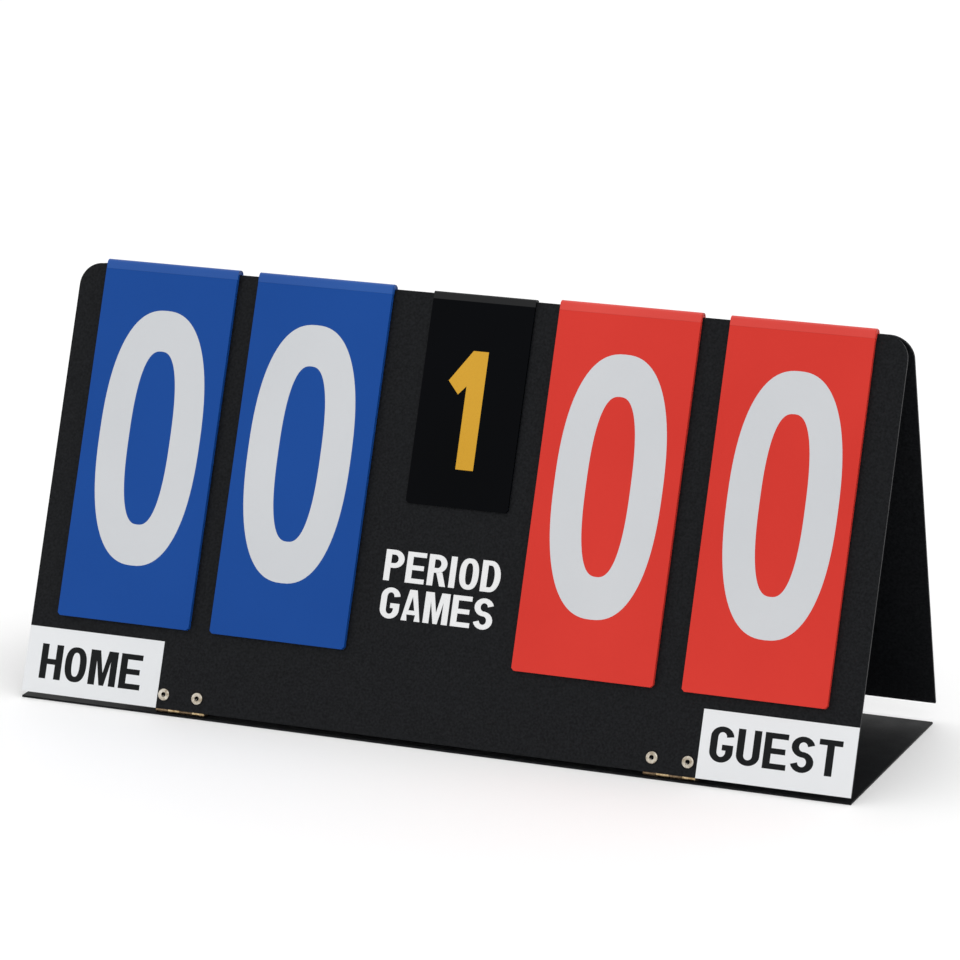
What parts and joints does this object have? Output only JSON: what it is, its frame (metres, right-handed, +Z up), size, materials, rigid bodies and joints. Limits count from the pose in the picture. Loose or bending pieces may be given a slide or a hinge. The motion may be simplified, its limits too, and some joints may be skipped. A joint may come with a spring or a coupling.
{
  "type": "flip scoreboard",
  "caption": "Folding table-top flip scoreboard: black plastic A-frame with blue home, red guest and black period leaves over its top edge",
  "frame": {"origin": "bottom centre of the open board's box, on the table", "axes": "+X to the reader's right along the board, +Y to the back, +Z up"},
  "size_m": [0.508, 0.1594, 0.2455],
  "materials": {
    "panel_sheet": "fine matte",
    "label_film": "satin white",
    "leaf_root_film": "satin",
    "home_leaf_film": "satin blue",
    "guest_leaf_film": "satin red",
    "period_leaf_film": "gloss black",
    "hinge_brass": "plated",
    "pin_steel": "drawn",
    "rivet_brass": "plated"
  },
  "bodies": {
    "front_panel": {"front_panel": "panel_sheet", "home_label": "label_film", "guest_label": "label_film", "leaf_roots": "leaf_root_film", "ridge_hinge_front_wings": "hinge_brass", "ridge_hinge_pins": "pin_steel", "floor_hinge_front_wings": "hinge_brass", "floor_hinge_pins": "pin_steel", "front_panel_rivets": "rivet_brass"},
    "back_panel": {"back_panel": "panel_sheet", "ridge_hinge_back_wings": "hinge_brass", "back_panel_rivets": "rivet_brass"},
    "floor_panel": {"floor_panel": "panel_sheet", "floor_hinge_floor_wings": "hinge_brass", "floor_panel_rivets": "rivet_brass"},
    "home_tens_0": {"home_tens_0": "home_leaf_film"},
    "home_tens_1": {"home_tens_1": "home_leaf_film"},
    "home_tens_2": {"home_tens_2": "home_leaf_film"},
    "home_tens_3": {"home_tens_3": "home_leaf_film"},
    "home_tens_4": {"home_tens_4": "home_leaf_film"},
    "home_tens_5": {"home_tens_5": "home_leaf_film"},
    "home_tens_6": {"home_tens_6": "home_leaf_film"},
    "home_tens_7": {"home_tens_7": "home_leaf_film"},
    "home_tens_8": {"home_tens_8": "home_leaf_film"},
    "home_tens_9": {"home_tens_9": "home_leaf_film"},
    "home_ones_0": {"home_ones_0": "home_leaf_film"},
    "home_ones_1": {"home_ones_1": "home_leaf_film"},
    "home_ones_2": {"home_ones_2": "home_leaf_film"},
    "home_ones_3": {"home_ones_3": "home_leaf_film"},
    "home_ones_4": {"home_ones_4": "home_leaf_film"},
    "home_ones_5": {"home_ones_5": "home_leaf_film"},
    "home_ones_6": {"home_ones_6": "home_leaf_film"},
    "home_ones_7": {"home_ones_7": "home_leaf_film"},
    "home_ones_8": {"home_ones_8": "home_leaf_film"},
    "home_ones_9": {"home_ones_9": "home_leaf_film"},
    "period_1": {"period_1": "period_leaf_film"},
    "period_2": {"period_2": "period_leaf_film"},
    "period_3": {"period_3": "period_leaf_film"},
    "period_4": {"period_4": "period_leaf_film"},
    "period_5": {"period_5": "period_leaf_film"},
    "guest_tens_0": {"guest_tens_0": "guest_leaf_film"},
    "guest_tens_1": {"guest_tens_1": "guest_leaf_film"},
    "guest_tens_2": {"guest_tens_2": "guest_leaf_film"},
    "guest_tens_3": {"guest_tens_3": "guest_leaf_film"},
    "guest_tens_4": {"guest_tens_4": "guest_leaf_film"},
    "guest_tens_5": {"guest_tens_5": "guest_leaf_film"},
    "guest_tens_6": {"guest_tens_6": "guest_leaf_film"},
    "guest_tens_7": {"guest_tens_7": "guest_leaf_film"},
    "guest_tens_8": {"guest_tens_8": "guest_leaf_film"},
    "guest_tens_9": {"guest_tens_9": "guest_leaf_film"},
    "guest_ones_0": {"guest_ones_0": "guest_leaf_film"},
    "guest_ones_1": {"guest_ones_1": "guest_leaf_film"},
    "guest_ones_2": {"guest_ones_2": "guest_leaf_film"},
    "guest_ones_3": {"guest_ones_3": "guest_leaf_film"},
    "guest_ones_4": {"guest_ones_4": "guest_leaf_film"},
    "guest_ones_5": {"guest_ones_5": "guest_leaf_film"},
    "guest_ones_6": {"guest_ones_6": "guest_leaf_film"},
    "guest_ones_7": {"guest_ones_7": "guest_leaf_film"},
    "guest_ones_8": {"guest_ones_8": "guest_leaf_film"},
    "guest_ones_9": {"guest_ones_9": "guest_leaf_film"}
  },
  "joints": [
    {"name": "back_panel_fold", "type": "hinge", "parent": "front_panel", "child": "back_panel", "pos_m": [0, 0.01388, 0.23976], "axis": [1, 0, 0], "range_deg": [-31, 0]},
    {"name": "floor_fold", "type": "hinge", "parent": "front_panel", "child": "floor_panel", "pos_m": [0, -0.07678, 0.0028], "axis": [-1, 0, 0], "range_deg": [-67.2, 25]},
    {"name": "home_tens_0_flip", "type": "hinge", "parent": "home_tens_1", "child": "home_tens_0", "pos_m": [0, 0.01471, 0.25681], "axis": [-1, 0, 0], "range_deg": [0, 324]},
    {"name": "home_tens_1_flip", "type": "hinge", "parent": "home_tens_2", "child": "home_tens_1", "pos_m": [0, 0.01471, 0.25681], "axis": [-1, 0, 0], "range_deg": [0, 324]},
    {"name": "home_tens_2_flip", "type": "hinge", "parent": "home_tens_3", "child": "home_tens_2", "pos_m": [0, 0.01471, 0.25681], "axis": [-1, 0, 0], "range_deg": [0, 324]},
    {"name": "home_tens_3_flip", "type": "hinge", "parent": "home_tens_4", "child": "home_tens_3", "pos_m": [0, 0.01471, 0.25681], "axis": [-1, 0, 0], "range_deg": [0, 324]},
    {"name": "home_tens_4_flip", "type": "hinge", "parent": "home_tens_5", "child": "home_tens_4", "pos_m": [0, 0.01471, 0.25681], "axis": [-1, 0, 0], "range_deg": [0, 324]},
    {"name": "home_tens_5_flip", "type": "hinge", "parent": "home_tens_6", "child": "home_tens_5", "pos_m": [0, 0.01471, 0.25681], "axis": [-1, 0, 0], "range_deg": [0, 324]},
    {"name": "home_tens_6_flip", "type": "hinge", "parent": "home_tens_7", "child": "home_tens_6", "pos_m": [0, 0.01471, 0.25681], "axis": [-1, 0, 0], "range_deg": [0, 324]},
    {"name": "home_tens_7_flip", "type": "hinge", "parent": "home_tens_8", "child": "home_tens_7", "pos_m": [0, 0.01471, 0.25681], "axis": [-1, 0, 0], "range_deg": [0, 324]},
    {"name": "home_tens_8_flip", "type": "hinge", "parent": "home_tens_9", "child": "home_tens_8", "pos_m": [0, 0.01471, 0.25681], "axis": [-1, 0, 0], "range_deg": [0, 324]},
    {"name": "home_tens_9_flip", "type": "hinge", "parent": "front_panel", "child": "home_tens_9", "pos_m": [0, 0.01471, 0.25681], "axis": [-1, 0, 0], "range_deg": [0, 324]},
    {"name": "home_ones_0_flip", "type": "hinge", "parent": "home_ones_1", "child": "home_ones_0", "pos_m": [0, 0.01471, 0.25681], "axis": [-1, 0, 0], "range_deg": [0, 324]},
    {"name": "home_ones_1_flip", "type": "hinge", "parent": "home_ones_2", "child": "home_ones_1", "pos_m": [0, 0.01471, 0.25681], "axis": [-1, 0, 0], "range_deg": [0, 324]},
    {"name": "home_ones_2_flip", "type": "hinge", "parent": "home_ones_3", "child": "home_ones_2", "pos_m": [0, 0.01471, 0.25681], "axis": [-1, 0, 0], "range_deg": [0, 324]},
    {"name": "home_ones_3_flip", "type": "hinge", "parent": "home_ones_4", "child": "home_ones_3", "pos_m": [0, 0.01471, 0.25681], "axis": [-1, 0, 0], "range_deg": [0, 324]},
    {"name": "home_ones_4_flip", "type": "hinge", "parent": "home_ones_5", "child": "home_ones_4", "pos_m": [0, 0.01471, 0.25681], "axis": [-1, 0, 0], "range_deg": [0, 324]},
    {"name": "home_ones_5_flip", "type": "hinge", "parent": "home_ones_6", "child": "home_ones_5", "pos_m": [0, 0.01471, 0.25681], "axis": [-1, 0, 0], "range_deg": [0, 324]},
    {"name": "home_ones_6_flip", "type": "hinge", "parent": "home_ones_7", "child": "home_ones_6", "pos_m": [0, 0.01471, 0.25681], "axis": [-1, 0, 0], "range_deg": [0, 324]},
    {"name": "home_ones_7_flip", "type": "hinge", "parent": "home_ones_8", "child": "home_ones_7", "pos_m": [0, 0.01471, 0.25681], "axis": [-1, 0, 0], "range_deg": [0, 324]},
    {"name": "home_ones_8_flip", "type": "hinge", "parent": "home_ones_9", "child": "home_ones_8", "pos_m": [0, 0.01471, 0.25681], "axis": [-1, 0, 0], "range_deg": [0, 324]},
    {"name": "home_ones_9_flip", "type": "hinge", "parent": "front_panel", "child": "home_ones_9", "pos_m": [0, 0.01471, 0.25681], "axis": [-1, 0, 0], "range_deg": [0, 324]},
    {"name": "period_1_flip", "type": "hinge", "parent": "period_2", "child": "period_1", "pos_m": [0, 0.0146, 0.25463], "axis": [-1, 0, 0], "range_deg": [0, 324]},
    {"name": "period_2_flip", "type": "hinge", "parent": "period_3", "child": "period_2", "pos_m": [0, 0.0146, 0.25463], "axis": [-1, 0, 0], "range_deg": [0, 324]},
    {"name": "period_3_flip", "type": "hinge", "parent": "period_4", "child": "period_3", "pos_m": [0, 0.0146, 0.25463], "axis": [-1, 0, 0], "range_deg": [0, 324]},
    {"name": "period_4_flip", "type": "hinge", "parent": "period_5", "child": "period_4", "pos_m": [0, 0.0146, 0.25463], "axis": [-1, 0, 0], "range_deg": [0, 324]},
    {"name": "period_5_flip", "type": "hinge", "parent": "front_panel", "child": "period_5", "pos_m": [0, 0.0146, 0.25463], "axis": [-1, 0, 0], "range_deg": [0, 324]},
    {"name": "guest_tens_0_flip", "type": "hinge", "parent": "guest_tens_1", "child": "guest_tens_0", "pos_m": [0, 0.01471, 0.25681], "axis": [-1, 0, 0], "range_deg": [0, 324]},
    {"name": "guest_tens_1_flip", "type": "hinge", "parent": "guest_tens_2", "child": "guest_tens_1", "pos_m": [0, 0.01471, 0.25681], "axis": [-1, 0, 0], "range_deg": [0, 324]},
    {"name": "guest_tens_2_flip", "type": "hinge", "parent": "guest_tens_3", "child": "guest_tens_2", "pos_m": [0, 0.01471, 0.25681], "axis": [-1, 0, 0], "range_deg": [0, 324]},
    {"name": "guest_tens_3_flip", "type": "hinge", "parent": "guest_tens_4", "child": "guest_tens_3", "pos_m": [0, 0.01471, 0.25681], "axis": [-1, 0, 0], "range_deg": [0, 324]},
    {"name": "guest_tens_4_flip", "type": "hinge", "parent": "guest_tens_5", "child": "guest_tens_4", "pos_m": [0, 0.01471, 0.25681], "axis": [-1, 0, 0], "range_deg": [0, 324]},
    {"name": "guest_tens_5_flip", "type": "hinge", "parent": "guest_tens_6", "child": "guest_tens_5", "pos_m": [0, 0.01471, 0.25681], "axis": [-1, 0, 0], "range_deg": [0, 324]},
    {"name": "guest_tens_6_flip", "type": "hinge", "parent": "guest_tens_7", "child": "guest_tens_6", "pos_m": [0, 0.01471, 0.25681], "axis": [-1, 0, 0], "range_deg": [0, 324]},
    {"name": "guest_tens_7_flip", "type": "hinge", "parent": "guest_tens_8", "child": "guest_tens_7", "pos_m": [0, 0.01471, 0.25681], "axis": [-1, 0, 0], "range_deg": [0, 324]},
    {"name": "guest_tens_8_flip", "type": "hinge", "parent": "guest_tens_9", "child": "guest_tens_8", "pos_m": [0, 0.01471, 0.25681], "axis": [-1, 0, 0], "range_deg": [0, 324]},
    {"name": "guest_tens_9_flip", "type": "hinge", "parent": "front_panel", "child": "guest_tens_9", "pos_m": [0, 0.01471, 0.25681], "axis": [-1, 0, 0], "range_deg": [0, 324]},
    {"name": "guest_ones_0_flip", "type": "hinge", "parent": "guest_ones_1", "child": "guest_ones_0", "pos_m": [0, 0.01471, 0.25681], "axis": [-1, 0, 0], "range_deg": [0, 324]},
    {"name": "guest_ones_1_flip", "type": "hinge", "parent": "guest_ones_2", "child": "guest_ones_1", "pos_m": [0, 0.01471, 0.25681], "axis": [-1, 0, 0], "range_deg": [0, 324]},
    {"name": "guest_ones_2_flip", "type": "hinge", "parent": "guest_ones_3", "child": "guest_ones_2", "pos_m": [0, 0.01471, 0.25681], "axis": [-1, 0, 0], "range_deg": [0, 324]},
    {"name": "guest_ones_3_flip", "type": "hinge", "parent": "guest_ones_4", "child": "guest_ones_3", "pos_m": [0, 0.01471, 0.25681], "axis": [-1, 0, 0], "range_deg": [0, 324]},
    {"name": "guest_ones_4_flip", "type": "hinge", "parent": "guest_ones_5", "child": "guest_ones_4", "pos_m": [0, 0.01471, 0.25681], "axis": [-1, 0, 0], "range_deg": [0, 324]},
    {"name": "guest_ones_5_flip", "type": "hinge", "parent": "guest_ones_6", "child": "guest_ones_5", "pos_m": [0, 0.01471, 0.25681], "axis": [-1, 0, 0], "range_deg": [0, 324]},
    {"name": "guest_ones_6_flip", "type": "hinge", "parent": "guest_ones_7", "child": "guest_ones_6", "pos_m": [0, 0.01471, 0.25681], "axis": [-1, 0, 0], "range_deg": [0, 324]},
    {"name": "guest_ones_7_flip", "type": "hinge", "parent": "guest_ones_8", "child": "guest_ones_7", "pos_m": [0, 0.01471, 0.25681], "axis": [-1, 0, 0], "range_deg": [0, 324]},
    {"name": "guest_ones_8_flip", "type": "hinge", "parent": "guest_ones_9", "child": "guest_ones_8", "pos_m": [0, 0.01471, 0.25681], "axis": [-1, 0, 0], "range_deg": [0, 324]},
    {"name": "guest_ones_9_flip", "type": "hinge", "parent": "front_panel", "child": "guest_ones_9", "pos_m": [0, 0.01471, 0.25681], "axis": [-1, 0, 0], "range_deg": [0, 324]}
  ]
}
